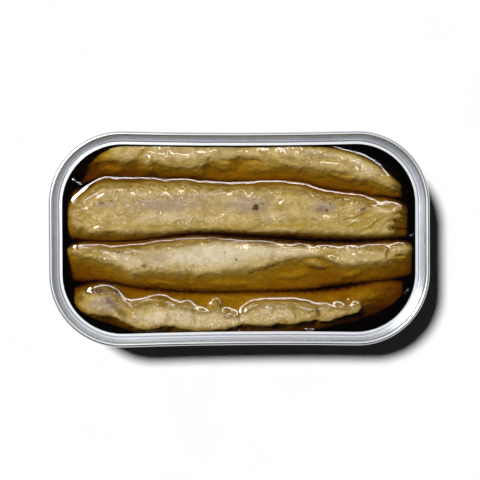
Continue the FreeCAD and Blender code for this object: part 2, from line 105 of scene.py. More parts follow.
def smoother(t):
    """A rounder step from 0 to 1, for t between them."""
    return t * t * t * (t * (t * 6 - 15) + 10)


def mix(a, b, t):
    """From a where t is 0 to b where it is 1."""
    return a + (b - a) * t


def turned(x, y, degrees):
    """The offsets x and y seen from axes that are turned by so many degrees."""
    c, s = math.cos(math.radians(degrees)), math.sin(math.radians(degrees))
    return x * c + y * s, -x * s + y * c


def cell_and_rest(values, size, shift):
    """The cell of a lattice that each value lies in, and how far along it, from 0 to 1."""
    scaled = np.asarray(values) / size + shift
    cell = np.floor(scaled).astype(int)
    return cell, scaled - cell


def noise(x, y, size, seed, octaves=1):
    """Smooth seeded bumps from -1 to 1, about size apart."""
    cells = 256
    total = np.zeros(np.shape(x))
    share = 1.0
    whole = 0.0
    for octave in range(octaves):
        lattice = np.random.default_rng(seed + 31 * octave).uniform(-1, 1, (cells, cells))
        i, u = cell_and_rest(x, size, 80)
        j, v = cell_and_rest(y, size, 80)
        u, v = smoother(u), smoother(v)
        low = mix(lattice[i % cells, j % cells], lattice[(i + 1) % cells, j % cells], u)
        high = mix(lattice[i % cells, (j + 1) % cells], lattice[(i + 1) % cells, (j + 1) % cells], u)
        total += share * mix(low, high, v)
        whole += share
        share *= 0.5
        size *= 0.5
    return total / whole


def grains(x, y, size, seed):
    """Rounded seeded grains from 0 to 1, about size apart."""
    cells = 128
    draw = np.random.default_rng(seed).uniform(0, 1, (cells, cells, 3))
    i, u = cell_and_rest(x, size, 60)
    j, v = cell_and_rest(y, size, 60)
    best = np.zeros(np.shape(x))
    for di in (-1, 0, 1):
        for dj in (-1, 0, 1):
            grain = draw[(i + di) % cells, (j + dj) % cells]
            away = np.hypot(u - di - grain[..., 0], v - dj - grain[..., 1])
            best = np.maximum(best, smooth(1 - away / (0.35 + 0.45 * grain[..., 2])))
    return best


def fibres(x, y, seed, turn, long_way=3.0, short_way=0.55):
    """Fine ridges along one direction, from -1 to 1, as where cooked muscle parts into strands."""
    bend = 0.6 * noise(x, y, 3.0, seed + 1, 2)
    c, s = math.cos(math.radians(turn)), math.sin(math.radians(turn))
    u = ((x + bend) * c + (y + bend) * s) / long_way
    v = (-(x + bend) * s + (y - bend) * c) / short_way
    return 1 - 2 * np.abs(noise(u, v, 1.0, seed, 2)) ** 0.7


def lump(x, y, spot):
    """A rounded rise or hollow: its place, half length, half width, turn in degrees and height."""
    middle_x, middle_y, long_way, short_way, turn, height = spot
    u, v = turned(x - middle_x, y - middle_y, turn)
    return height * smooth(1.25 - 1.25 * np.hypot(u / long_way, v / short_way))


def through(points):
    """A smooth single-valued line through given (x, y) points, level beyond its ends."""
    px = np.array([p[0] for p in points], float)
    py = np.array([p[1] for p in points], float)
    step = np.diff(px)
    rise = np.diff(py) / step
    slope = np.zeros(len(px))
    slope[1:-1] = (rise[:-1] * step[1:] + rise[1:] * step[:-1]) / (step[1:] + step[:-1])

    def line(x):
        x = np.clip(x, px[0], px[-1])
        k = np.clip(np.searchsorted(px, x) - 1, 0, len(px) - 2)
        t = (x - px[k]) / step[k]
        a = py[k] + slope[k] * step[k] * t * (1 - t) ** 2 + (py[k + 1] - py[k]) * t * t * (3 - 2 * t)
        return a - slope[k + 1] * step[k] * t * t * (1 - t)

    return line


def rounded_outline(points, pieces=4):
    """A closed Catmull-Rom curve through given points."""
    p = np.array(points, float)
    before, after, last = np.roll(p, 1, 0), np.roll(p, -1, 0), np.roll(p, -2, 0)
    linear = after - before
    square = 2 * before - 5 * p + 4 * after - last
    cube = 3 * p - before - 3 * after + last
    steps = [k / pieces for k in range(pieces)]
    shares = [0.5 * (2 * p + linear * t + square * t * t + cube * t**3) for t in steps]
    return np.stack(shares, 1).reshape(-1, 2)


def inside_by(x, y, outline):
    """How far each point lies inside a closed outline (below 0: outside), and how far that edge faces -Y."""
    nearest = np.full(np.shape(x), 1e9)
    lean = np.zeros(np.shape(x))
    crossings = np.zeros(np.shape(x), bool)
    for a, b in zip(outline, np.roll(outline, -1, 0)):
        d = b - a
        t = np.clip(((x - a[0]) * d[0] + (y - a[1]) * d[1]) / max(d @ d, 1e-12), 0, 1)
        away = (x - a[0] - t * d[0]) ** 2 + (y - a[1] - t * d[1]) ** 2
        closer = away < nearest
        nearest = np.where(closer, away, nearest)
        lean = np.where(closer, y - a[1] - t * d[1], lean)
        if a[1] != b[1]:
            crossings ^= ((a[1] > y) != (b[1] > y)) & (x < d[0] * (y - a[1]) / d[1] + a[0])
    sign = np.where(crossings, 1, -1)
    nearest = np.sqrt(nearest)
    return sign * nearest, sign * lean / np.maximum(nearest, 1e-6)


def superellipse(power, across, up, step):
    """Evenly spaced (cosine, sine) samples along a squarish arch that is across wide and up high."""
    angle = np.linspace(0, math.pi, 4001)
    c = np.sign(np.cos(angle)) * np.abs(np.cos(angle)) ** (2 / power)
    s = np.abs(np.sin(angle)) ** (2 / power)
    walked = np.concatenate([[0], np.cumsum(np.hypot(np.diff(c) * across, np.diff(s) * up))])
    count = max(4, int(round(walked[-1] / step)))
    at = np.linspace(0, walked[-1], count + 1)
    return np.interp(at, walked, c), np.interp(at, walked, s)


def band(first, second):
    """Faces between two closed rings of as many points each."""
    count = len(first)
    return [(first[k], first[(k + 1) % count], second[(k + 1) % count], second[k]) for k in range(count)]


def fan(ring, tip):
    """Faces from a closed ring to one point."""
    return [(tip, ring[(k + 1) % len(ring)], ring[k]) for k in range(len(ring))]


def add_object(name, data):
    thing = bpy.data.objects.new(name, data)
    bpy.context.scene.collection.objects.link(thing)
    return thing


def store_mask(mesh, name, values):
    layer = mesh.attributes.new(name, "FLOAT", "POINT")
    layer.data.foreach_set("value", values.astype(np.float32))


def new_mesh(name, points, faces):
    """A smooth mesh object from millimetre points."""
    mesh = bpy.data.meshes.new(name)
    mesh.from_pydata((points * MM).tolist(), [], faces)
    mesh.validate()
    mesh.polygons.foreach_set("use_smooth", [True] * len(mesh.polygons))
    mesh.update()
    return add_object(name, mesh)


# ------------------------------------------------ node helpers


def material(name):
    mat = bpy.data.materials.new(name)
    mat.use_nodes = True
    mat.node_tree.nodes.clear()
    return mat, mat.node_tree


def node(tree, kind, inputs=None, **settings):
    """A new node: its inputs are values, or sockets to link from."""
    made = tree.nodes.new(kind)
    for key, value in settings.items():
        setattr(made, key, value)
    for key, value in (inputs or {}).items():
        if isinstance(value, bpy.types.NodeSocket):
            tree.links.new(value, made.inputs[key])
        else:
            made.inputs[key].default_value = value
    return made


def output(tree, inputs, kind="ShaderNodeOutputMaterial"):
    node(tree, kind, inputs)


def math_node(tree, operation, a, b=0.0, clamp=False):
    return node(tree, "ShaderNodeMath", {0: a, 1: b}, operation=operation, use_clamp=clamp).outputs[0]


def ramp(tree, value, low, high, to_low=0.0, to_high=1.0):
    inputs = {"Value": value, "From Min": low, "From Max": high, "To Min": to_low, "To Max": to_high}
    return node(tree, "ShaderNodeMapRange", inputs).outputs[0]


def blend_colour(tree, factor, a, b):
    """From colour a to colour b, each a socket or three numbers."""
    a, b = (value if isinstance(value, bpy.types.NodeSocket) else (*value, 1) for value in (a, b))
    return node(tree, "ShaderNodeMix", {0: factor, 6: a, 7: b}, data_type="RGBA").outputs[2]


def noise_texture(tree, where, scale, detail=3.0, roughness=0.5, distortion=0.0):
    inputs = {"Vector": where, "Scale": scale, "Detail": detail, "Roughness": roughness}
    return node(tree, "ShaderNodeTexNoise", {**inputs, "Distortion": distortion}).outputs["Fac"]


def stretched(tree, where, scale, turn=0.0):
    inputs = {"Vector": where, "Scale": scale, "Rotation": (0, 0, turn)}
    return node(tree, "ShaderNodeMapping", inputs).outputs[0]


def bumped(tree, height, distance, strength=1.0):
    inputs = {"Strength": strength, "Distance": distance, "Height": height}
    return node(tree, "ShaderNodeBump", inputs).outputs[0]


def shader_mix(tree, factor, a, b):
    made = node(tree, "ShaderNodeMixShader", {0: factor})
    tree.links.new(a, made.inputs[1])
    tree.links.new(b, made.inputs[2])
    return made.outputs[0]


# ------------------------------------------------ the fillets

# Lines between neighbours: x, y and how far the flanks are pressed together there, below 0 where they part.
PARTINGS = {
    "parting_12": [
        (-48, 15.6, -0.3), (-44, 14.6, -0.3), (-42, 15.3, 0.0), (-39.5, 16.8, 0.35), (-36, 17.2, 0.4),
        (-28, 16.9, 0.4), (-24.5, 17.4, 0.4), (-21, 17.0, 0.4), (-15, 17.0, 0.35), (-8, 16.3, 0.4),
        (-3, 15.8, 0.45), (0, 16.1, 0.45), (6, 16.2, 0.5), (12, 16.2, 0.5), (18, 15.9, 0.5),
        (20, 15.2, 0.45), (24, 13.9, 0.4), (29, 13.1, 0.4), (34, 12.7, 0.4), (37, 11.8, 0.4),
        (41, 11.5, 0.3), (45, 10.7, 0.1), (48, 10.0, -0.3),
    ],
    "parting_23": [
        (-48, -0.9, -0.3), (-44, -0.4, 0.2), (-38, -0.5, 0.5), (-30, -0.3, 0.5), (-24, 0.3, 0.45),
        (-18, 0.9, 0.35), (-12, 1.4, 0.25), (-6, 1.1, 0.05), (0, 0.6, -0.05), (8, 0.1, -0.1),
        (14, -0.2, -0.2), (20, -0.7, -0.25), (28, -0.9, -0.25), (34, -1.0, -0.2), (40, -0.5, 0.1),
        (48, -0.6, -0.2),
    ],
    "parting_34": [
        (-48, -12.6, -0.3), (-44, -12.4, 0.0), (-40, -12.0, 0.25), (-36, -12.4, 0.3), (-30, -13.5, 0.3),
        (-20, -14.7, 0.25), (-10, -15.2, 0.3), (0, -15.2, 0.35), (10, -15.1, 0.3), (19, -14.9, 0.15),
        (24, -14.4, -0.15), (29, -13.8, -0.2), (33, -13.2, 0.0), (38, -12.5, 0.3), (43, -12.0, 0.3),
        (48, -11.6, 0.0),
    ],
}

# The fillets, from far to near. Lines along X are given by points on them:
#   ends and squareness: from where to where, and how squarely they are cut;
#   far, near: the sides, lines of their own or the names of lines between neighbours;
#   flank: height of the flank under the oil, and deep: that on the near side, where it is another;
#   crown: height of the top; lit: outline of what stands out of the oil; ragged: how far that wanders;
#   slope: how steeply the near side drops; soaked: width of the oil-soaked margin on the far side;
#   lumps and tints: spots of relief and colour, each as lump() takes it.
FILLETS = [
    {
        "name": "fillet_1",
        "ends": (-46.6, 46.6),
        "squareness": 9,
        "far": [
            (-47, 20.4), (-44, 23.4), (-40, 25.9), (-36, 27.1), (-30, 27.4), (10, 27.4), (18, 27.0),
            (23, 26.4), (28, 25.4), (32, 24.2), (36, 22.6), (39, 20.9), (42, 18.8), (44.5, 16.8),
            (47, 15.0),
        ],
        "near": "parting_12",
        "flank": [
            (-47, 12.4), (-40, 12.2), (-34, 12.6), (-26, 13.2), (-18, 13.7), (-10, 14.6), (0, 15.3),
            (8, 15.3), (16, 14.6), (24, 14.1), (34, 13.9), (47, 13.2),
        ],
        "crown": [
            (-47, 15.6), (-42, 16.0), (-39, 16.9), (-35, 18.3), (-30, 18.7), (-10, 18.8), (8, 18.7),
            (20, 19.0), (34, 19.1), (42, 19.0), (46, 18.5),
        ],
        "lit": [
            (-44.6, 21.6), (-42.6, 20.4), (-39.6, 21.4), (-36.4, 22.0), (-33.8, 22.0), (-32, 21.4),
            (-30, 21.8), (-28, 22.2), (-25.6, 20.6), (-23.8, 21.6), (-22, 21.2), (-20.4, 20.5),
            (-18, 20.1), (-14, 20.0), (-11, 20.4), (-9.2, 21.2), (-7.6, 21.8), (-6.2, 22.0), (-3, 22.2),
            (0, 22.6), (3.5, 22.4), (5.3, 22.0), (8, 21.6), (10.4, 21.3), (12.8, 20.5), (17, 19.8),
            (20, 19.6), (23.2, 18.8), (28.4, 18.6), (32.2, 17.2), (37, 16.3), (40.4, 15.1), (43.9, 13.7),
            (45.4, 14.0), (45.2, 15.0), (43.4, 16.5), (41.2, 18.2), (38.4, 20.3), (35.4, 22.0),
            (31.8, 23.5), (27.5, 24.5), (22, 25.4), (15, 26.6), (8, 30), (-34, 30), (-42.6, 25.2),
        ],
        "ragged": 0.35,
        "slope": 1.7,
        "soaked": 1.0,
        "lumps": [
            (-4.4, 20.4, 4.4, 2.0, -10, 1.1), (6.8, 19.9, 8.4, 2.4, 4, 1.15),
            (-36, 23.4, 3.5, 1.8, 0, -0.3), (-27.2, 23.6, 0.7, 2.6, -38, -0.45),
            (-24.6, 22.6, 0.5, 1.9, -38, 0.35), (-20, 22.6, 8, 1.6, -4, 0.3), (3, 20.9, 2.4, 1.1, 0, 0.5),
            (1.2, 24.8, 7, 1.0, 2, -0.3), (24, 21.9, 6, 1.4, -9, -0.35), (12, 23.4, 3.2, 1.2, -15, 0.3),
            (37, 18.4, 4.5, 1.4, -33, 0.25), (-8.6, 22.0, 1.6, 1.2, 40, -0.5),
            (15, 21.2, 5, 0.5, -18, -0.4), (-13, 24.2, 5, 1.0, 12, -0.25), (-36, 19.0, 4, 2.0, 0, 0.9),
            (-24, 18.8, 3.0, 1.6, 0, 0.5), (-12, 18.4, 3.0, 1.6, 0, 0.5), (30, 16.8, 7, 1.0, -12, 0.6),
        ],
        "tints": {
            "cream": [
                (-17, 23.8, 14, 2.4, 0, 0.25), (34, 20.6, 8, 1.8, -33, 0.35),
                (16, 24.2, 7, 1.6, -8, 0.25),
            ],
            "yellow": [
                (-38.5, 22.5, 6, 3.2, 0, 0.9), (-12, 20.9, 24, 1.0, 0, 0.5), (7, 20.2, 9, 2.2, 0, 0.75),
                (41, 16.6, 6, 2, -33, 0.5), (20, 20.4, 8, 1.0, -10, 0.4), (-27, 24.5, 5, 2.0, 0, 0.35),
            ],
            "mauve": [(-4, 24.6, 8, 1.4, 0, 0.35), (22, 22.8, 5, 1.6, -10, 0.35)],
            "brown": [
                (44, 14.4, 2.6, 1.6, 0, 0.6), (-42, 22.5, 4.2, 4.0, 0, 0.7), (-27, 18.6, 14, 1.5, 2, 0.4),
                (17, 21.6, 6, 0.35, -18, 0.5), (-10.4, 22.2, 2.6, 0.4, 24, 0.35),
            ],
            "gleam": [
                (2.6, 21.0, 4.2, 1.8, 0, 1.2), (22, 22.5, 9, 2.6, -10, 1.3), (11, 25, 7, 1.6, 0, 0.8),
                (34, 19.6, 6, 2.0, -33, 0.8), (-20, 24, 8, 1.8, 0, 0.3),
            ],
        },
    },
    {
        "name": "fillet_2",
        "ends": (-48.2, 47.8),
        "squareness": 20,
        "far": "parting_12",
        "near": "parting_23",
        "flank": [(-48, 14.2), (-40, 15.2), (-20, 15.4), (0, 15.3), (20, 15.6), (40, 15.0), (48, 13.6)],
        "crown": [
            (-48, 19.0), (-44, 19.2), (-36, 19.3), (-20, 19.2), (0, 19.0), (12, 19.1), (24, 19.0),
            (34, 19.0), (46, 18.9),
        ],
        "lit": [
            (-47.2, 8.4), (-47.2, 6.5), (-46.9, 4.2), (-45.3, 3.0), (-43.6, 3.3), (-42.0, 2.2),
            (-39, 1.7), (-36, 2.2), (-33.4, 1.5), (-30, 1.5), (-20, 1.8), (-10, 1.9), (0, 1.8), (10, 1.6),
            (20, 1.3), (30, 0.8), (38, 0.6), (42.5, 1.0), (43.6, 1.8), (42.6, 2.8), (43.8, 4.0),
            (43.3, 5.2), (45.2, 6.2), (44.3, 7.2), (45.7, 8.0), (44.8, 9.1), (41, 9.9), (37, 10.3),
            (33, 11.2), (27, 11.8), (22, 12.7), (18, 14.0), (12, 14.5), (6, 14.4), (1, 14.8), (-2, 14.4),
            (-8, 14.7), (-15, 15.7), (-21, 15.5), (-25, 15.9), (-30, 15.3), (-36, 15.6), (-39.5, 14.9),
            (-42, 12.9), (-44.5, 11.0), (-46.4, 9.8),
        ],
        "ragged": 0.3,
        "slope": 1.6,
        "soaked": 2.2,
        "scalloped": True,
        "lumps": [
            (-43.5, 5.6, 3.2, 3.4, 0, -0.25), (-40.5, 3.6, 3.6, 1.6, 20, -0.18),
            (-45.0, 3.6, 1.6, 1.0, 30, -0.3), (-16, 5.2, 9, 1.8, 4, 0.15), (14, 4.0, 9, 1.8, 2, -0.3),
            (6, 3.0, 5, 1.2, 12, -0.3), (-24, 3.4, 5, 1.0, 5, -0.25), (24.5, 7.6, 4.2, 2.4, -4, -0.35),
            (34.8, 6.4, 4.0, 0.8, 24, -0.5), (39.5, 8.8, 4.0, 1.1, 0, -0.35),
            (39, 4.6, 4.6, 0.8, 32, -0.4), (36, 2.4, 4, 0.8, 24, -0.35), (41.5, 6.6, 3.0, 0.7, 16, 0.3),
            (42.5, 2.6, 1.6, 1.0, 0, -0.4), (30, 9.8, 4.5, 0.9, 10, -0.3), (4.7, 8.8, 1.1, 1.0, 0, -0.35),
            (12.8, 10.6, 2.8, 0.35, 38, 0.3), (-38.6, 9.4, 1.6, 0.8, 10, -0.25),
            (28.5, 11.4, 2.6, 0.9, 0, -0.55), (4.5, 14.2, 3.0, 1.0, 0, -0.4),
            (-11, 15.2, 4.5, 0.9, -4, -0.5), (9.5, 14.8, 3.0, 0.9, 0, -0.45),
            (-41.5, 10.5, 2.6, 0.9, 40, -0.3), (32, 4.2, 3.0, 0.5, 20, 0.3),
        ],
        "tints": {
            "mauve": [
                (-20, 9.6, 18, 3.0, 0, 1.0), (2, 9.4, 10, 3.2, 0, 1.0), (24, 8.6, 5, 2.6, 0, 1.3),
                (-37, 9.6, 4, 1.8, 10, 0.8), (34, 7.8, 3, 1.2, 0, 0.5), (-10, 12.2, 16, 1.2, 0, 0.5),
            ],
            "cream": [
                (-20, 6.2, 14, 2.0, 0, 0.35), (-28, 12.4, 8, 1.0, 0, 0.35), (10, 6.4, 8, 1.6, 0, 0.3),
            ],
            "yellow": [
                (-15, 14.6, 32, 2.3, 0, 1.1), (12, 13.5, 16, 2.0, -5, 1.0), (32, 10.4, 12, 1.8, -6, 0.9),
                (-43, 8, 4.5, 6, 0, 0.6), (-10, 3.4, 36, 1.9, 0, 0.65), (34, 4.6, 14, 4.4, 0, 0.75),
                (18, 3.6, 12, 2.4, 0, 0.7), (-31, 6.0, 8, 1.4, 30, 0.35),
            ],
            "brown": [
                (4.45, 8.75, 1.25, 1.15, 0, 1.7), (6.4, 9.6, 0.5, 0.4, 0, 0.8),
                (22.6, 8.0, 2.8, 1.8, 0, 0.3), (24.4, 7.8, 0.6, 0.9, 0, 1.0),
                (25.6, 9.6, 0.5, 0.8, 20, 0.8), (34.6, 8.0, 1.0, 0.6, 30, 1.2),
                (-38.2, 9.9, 1.3, 0.5, 0, 0.9), (-35.6, 10.6, 0.9, 0.5, 0, 0.7),
                (17.5, 12.6, 1.6, 0.22, 50, 0.9), (19.8, 12.0, 1.4, 0.2, 40, 0.8),
                (12.6, 13.4, 1.2, 0.2, -60, 0.6), (30, 5.4, 5, 0.4, 14, 0.5), (20, 5.4, 4, 0.4, -8, 0.4),
                (-44.6, 5.2, 2.4, 0.4, -20, 0.5), (41, 4.2, 3.0, 0.35, 28, 0.5),
            ],
            "gleam": [
                (-22, 11.9, 20, 2.0, 0, 1.2), (-31, 8.4, 5.5, 2.8, 50, 1.1), (4, 11.6, 9, 1.7, 0, 1.1),
                (-36, 5.4, 8, 2.6, 10, 0.8), (32, 6.2, 13, 4.0, 0, 0.8), (-44, 7, 3.4, 3.4, 0, 0.7),
                (-14, 5.0, 12, 2.0, 0, 0.5), (8, 5.0, 5, 2.0, 0, 0.7),
            ],
        },
    },
    {
        "name": "fillet_3",
        "ends": (-48.6, 49.2),
        "squareness": 16,
        "far": "parting_23",
        "near": "parting_34",
        "flank": [
            (-48.5, 11.6), (-40, 12.4), (-30, 13.1), (-20, 13.5), (-10, 14.4), (0, 15.0), (10, 15.3),
            (20, 14.9), (28, 13.6), (36, 13.0), (48, 11.8),
        ],
        "crown": [
            (-48.5, 18.8), (-44, 19.0), (-30, 19.3), (-15, 19.3), (0, 19.1), (15, 18.9), (30, 18.9),
            (40, 19.1), (48, 18.8),
        ],
        "lit": [
            (-47.5, -2.4), (-47.5, -3.1), (-46.3, -3.8), (-42, -5.0), (-38, -6.2), (-34, -7.7),
            (-31, -9.0), (-29.5, -9.6), (-26, -9.2), (-22, -9.3), (-18, -9.8), (-14, -9.5), (-12, -10.1),
            (-9, -9.6), (-6, -9.8), (-3, -9.1), (0, -9.1), (4, -8.8), (6, -8.4), (8, -7.6), (12, -6.4),
            (14, -5.7), (20, -5.4), (24, -5.6), (27, -7.0), (30, -7.6), (33, -7.5), (36, -7.1),
            (40, -6.9), (43.2, -5.9), (46.0, -4.9), (48.2, -3.6), (48.4, -2.2), (46.5, -1.2), (42, -1.8),
            (40, -2.6), (36, -2.3), (28, -1.8), (20, -1.5), (10, -1.2), (5, -0.7), (0, -0.2), (-5, 0.0),
            (-12, -0.2), (-16, -0.8), (-20, -1.4), (-24, -1.8), (-28, -2.4), (-36, -2.6), (-40, -2.3),
            (-45, -2.0),
        ],
        "ragged": 0.3,
        "slope": 1.3,
        "soaked": 2.0,
        "lumps": [
            (41.6, -4.0, 0.8, 2.6, -10, -0.9), (44.6, -3.0, 2.6, 1.2, 0, 0.1),
            (21.5, -7.4, 3.8, 1.6, -14, 1.7), (26, -6.2, 3.4, 0.8, -28, 0.6),
            (35, -3.0, 3.0, 0.5, -6, -0.45), (38, -5.2, 3, 1.2, -6, -0.25),
            (-36, -3.7, 3.6, 0.8, -4, -0.4), (-42, -3.8, 3.4, 0.8, -10, -0.3),
            (-26.5, -8.0, 1.1, 0.8, 0, -0.3), (-33, -6.2, 3.2, 1.2, -24, 0.15),
            (45.2, -5.2, 2.0, 0.7, 10, -0.8), (28, -5.0, 4.0, 0.9, -4, -0.2),
            (-21, -8.6, 3.5, 0.8, 4, -0.2), (5.5, -8.3, 3.0, 0.6, 18, -0.2),
            (-35, -2.6, 2.0, 0.7, 0, -0.5), (-28.5, -2.2, 2.2, 0.7, 0, -0.45),
            (16, -10.4, 6, 1.6, 6, 0.7), (-2, -12.6, 8, 1.2, 0, 0.5), (31, -10.6, 4, 1.4, 10, 0.5),
            (-22, -12.4, 6, 1.0, -4, 0.4),
        ],
        "tints": {
            "cream": [
                (-6, -4.4, 17, 4.8, 0, 0.9), (12, -3.4, 14, 3.0, -4, 0.6),
                (21.5, -7.2, 3.4, 1.5, -14, 0.8), (-20, -5.4, 12, 3.2, 0, 0.5),
                (34, -4.8, 10, 2.6, 0, 0.45), (-33, -5.4, 8, 2.2, -14, 0.6),
            ],
            "yellow": [
                (-40, -4.6, 9, 1.8, -18, 0.9), (37, -5, 10, 3.0, 0, 0.45), (-22, -9.0, 9, 1.4, 0, 0.6),
                (-33, -2.9, 6, 0.9, 0, 0.7), (2, -8.9, 8, 0.9, 12, 0.5), (26, -4.6, 6, 1.8, 0, 0.3),
                (45, -3.4, 3, 2, 0, 0.6),
            ],
            "mauve": [(-23, -5.2, 5, 2.6, 0, 0.6), (-1, -5.6, 3.4, 1.6, 0, 0.25)],
            "brown": [
                (-26.5, -7.6, 1.6, 1.0, 20, 0.55), (-1, -5.9, 0.42, 0.42, 0, 1.8),
                (-4, -3.8, 0.45, 0.35, 0, 0.7), (4.0, -9.2, 2.6, 0.22, 20, 1.3),
                (7.6, -8.0, 1.3, 0.2, 55, 1.3), (9.2, -7.4, 0.8, 0.2, 10, 1.0),
                (-34, -3.4, 2.2, 0.5, 0, 0.7), (29, -11.2, 0.5, 0.5, 0, 0.9),
                (41.4, -4.2, 0.5, 2.2, -8, 0.6), (-13, -7.8, 0.8, 0.4, 0, 0.4),
            ],
            "gleam": [
                (-31, -3.8, 6, 2.0, 0, 1.0), (-39, -5.0, 6, 1.2, -18, 0.9), (31, -4.8, 9, 2.6, 0, 0.8),
                (21, -7.0, 3.4, 1.4, 0, 0.9), (-23, -8.0, 6, 1.2, 0, 0.8), (44.5, -3.4, 3, 1.4, 0, 0.9),
                (6, -5, 10, 3, 0, 0.2), (-14, -8.6, 5, 1.0, 0, 0.6),
            ],
        },
    },
    {
        "name": "fillet_4",
        "ends": (-46.6, 46.8),
        "squareness": 9,
        "far": "parting_34",
        "near": [
            (-47, -18.4), (-45, -20.4), (-42, -22.2), (-38, -23.6), (-34, -24.9), (-30, -26.2),
            (-24, -27.0), (-16, -27.2), (10, -27.2), (18, -26.9), (24, -25.8), (30, -24.4), (36, -22.8),
            (40, -21.4), (44, -19.4), (47, -17.2),
        ],
        "flank": [
            (-47, 12.4), (-40, 14.0), (-34, 14.8), (-26, 15.4), (-15, 15.8), (-7, 16.2), (4, 15.9),
            (14, 15.6), (24, 15.4), (36, 14.9), (42, 14.4), (47, 13.4),
        ],
        "deep": 11.0,
        "crown": [
            (-47, 18.8), (-38, 19.3), (-30, 18.9), (-20, 19.0), (-8, 18.9), (2, 19.0), (12, 19.1),
            (22, 18.9), (34, 18.6),
        ],
        "lit": [
            (-46.0, -18.2), (-45.4, -16.0), (-43.4, -14.4), (-40.6, -13.6), (-37, -13.6), (-34.8, -14.6),
            (-32.4, -16.2), (-30.2, -17.4), (-28.4, -17.2), (-27.0, -16.8), (-25, -16.7), (-22, -17.0),
            (-18, -17.5), (-15, -18.0), (-12.8, -18.8), (-11, -19.6), (-7, -18.6), (-5, -19.4),
            (-2.4, -20.2), (0.6, -19.2), (3, -18.2), (6, -17.8), (10, -17.8), (15, -18.3), (20, -19.0),
            (23, -18.8), (27, -18.2), (30, -19.2), (32.8, -18.0), (34.4, -19.4), (32.8, -20.8),
            (29, -21.9), (26, -22.9), (23, -23.2), (21.4, -22.6), (18, -23.4), (15, -23.9), (11, -23.6),
            (8, -24.3), (4, -24.0), (1, -24.1), (-1, -24.7), (-4, -25.5), (-10, -25.8), (-14, -25.4),
            (-17, -24.9), (-21, -24.1), (-24, -25.1), (-28, -24.9), (-30, -24), (-33, -22.6),
            (-36, -21.4), (-40, -20.7), (-43.5, -20.0),
        ],
        "ragged": 0.45,
        "slope": 3.5,
        "soaked": 2.6,
        "lumps": [
            (-33.2, -20.2, 1.5, 3.4, 38, -0.45), (-39.5, -17.4, 3.4, 2.2, 0, 0.15),
            (-29.5, -21.4, 1.4, 3.2, 36, 0.2), (-22, -20.8, 4.0, 2.6, 0, 0.15),
            (-12.6, -22.0, 1.2, 3.0, 10, -0.3), (-6.5, -21.6, 3.0, 2.4, 0, -0.2),
            (0, -21.2, 1.0, 3.0, -8, -0.45), (6.5, -20.6, 4.4, 2.2, 0, 0.15),
            (15.6, -21.0, 1.4, 2.6, 20, -0.25), (21.9, -20.8, 0.9, 2.2, 6, -0.6),
            (20.8, -20.4, 0.5, 1.6, 4, 0.4), (27, -20.2, 3.4, 1.6, -8, -0.1),
            (-8.6, -19.2, 2.2, 1.4, 0, -0.5), (-16.8, -18.6, 2.4, 1.0, 0, -0.3),
            (36, -16.0, 7, 2.4, -4, 1.0), (-7, -17.6, 4.0, 1.4, 0, 0.6), (4, -16.4, 5.0, 1.0, 0, 0.4),
            (-20, -22.6, 1.0, 1.8, -30, -0.3), (-26, -20.0, 0.9, 2.4, 30, -0.35),
            (9.6, -20.4, 0.8, 2.4, -24, -0.3), (3.4, -21.6, 0.8, 2.2, 24, -0.3),
            (-4, -22.8, 0.8, 1.8, 16, -0.3), (-22, -17.2, 5.0, 0.8, -4, 0.4), (26, -17.0, 4, 0.8, 0, 0.4),
        ],
        "tints": {
            "mauve": [(-37.0, -18.0, 5.0, 3.0, -20, 1.3), (-41.0, -18.2, 2.4, 2.0, 0, 0.9)],
            "cream": [
                (-12, -22, 22, 3.4, 0, 0.55), (10, -20.9, 9, 2.6, 0, 0.45),
                (-39.3, -17.9, 0.8, 2.4, 12, 1.6), (-24, -21.4, 6, 3, 0, 0.6),
            ],
            "yellow": [
                (-31, -20, 2.6, 3.4, 36, 0.6), (-19, -18.0, 9, 1.2, 0, 0.8), (5, -18.4, 9, 1.0, 0, 0.6),
                (28, -19.6, 7, 2.6, 0, 0.6), (-8, -20.0, 4, 1.0, 0, 0.7),
                (-43.5, -17.5, 2.2, 2.6, 0, 0.6), (17, -20, 3, 3, 0, 0.5),
            ],
            "brown": [
                (-36.0, -17.4, 3.0, 1.8, -40, 0.6), (-32.8, -20.8, 1.8, 3.6, 38, 0.5),
                (-40, -14.2, 5.0, 1.5, 6, 0.75), (-35.0, -14.6, 2.6, 1.4, -35, 0.6),
                (-44.6, -16.6, 1.6, 2.6, -20, 0.3), (22.0, -20.6, 0.7, 2.0, 4, 0.9),
                (-37.6, -20.4, 3.4, 1.0, -14, 0.4), (15.4, -21.4, 0.4, 2.0, 20, 0.5),
                (0, -21.6, 0.4, 2.2, -8, 0.5), (-12.6, -22.4, 0.4, 2.2, 10, 0.4),
            ],
            "gleam": [
                (-22, -20.8, 10, 3.6, 0, 1.3), (-5, -22, 10, 3.6, 0, 1.3), (8, -21.0, 9, 3.6, 0, 1.3),
                (28, -19.4, 6, 2.2, 0, 0.9), (-30, -19, 2.4, 3.4, 30, 1.0), (-38, -16.8, 4, 2.2, 0, 0.5),
                (18, -20.6, 4, 3, 0, 0.8),
            ],
        },
    },
]
TINTS = ("cream", "yellow", "mauve", "brown", "gleam")
MASKS = TINTS + ("amber", "gap", "lit", "dry")

# Beads and wrinkles of the oil's skin, as lump() takes them.
BEADS = [
    (-46.0, 16.2, 0.9, 0.4, -40, 0.24), (-44.6, 15.2, 0.9, 0.4, -50, 0.22), (48.8, 0.4, 0.8, 0.6, 0, 0.4),
    (-13.5, -25.6, 3.4, 0.4, 8, 0.2), (19.5, -25.8, 2.4, 0.5, 0, 0.24), (0.2, -25.8, 1.5, 0.4, 0, 0.2),
    (46.8, -15.2, 1.3, 0.4, 45, 0.22), (-3.5, -16.6, 1.2, 0.4, -30, 0.1),
    (30.4, -17.6, 1.0, 0.4, 60, 0.12),
]


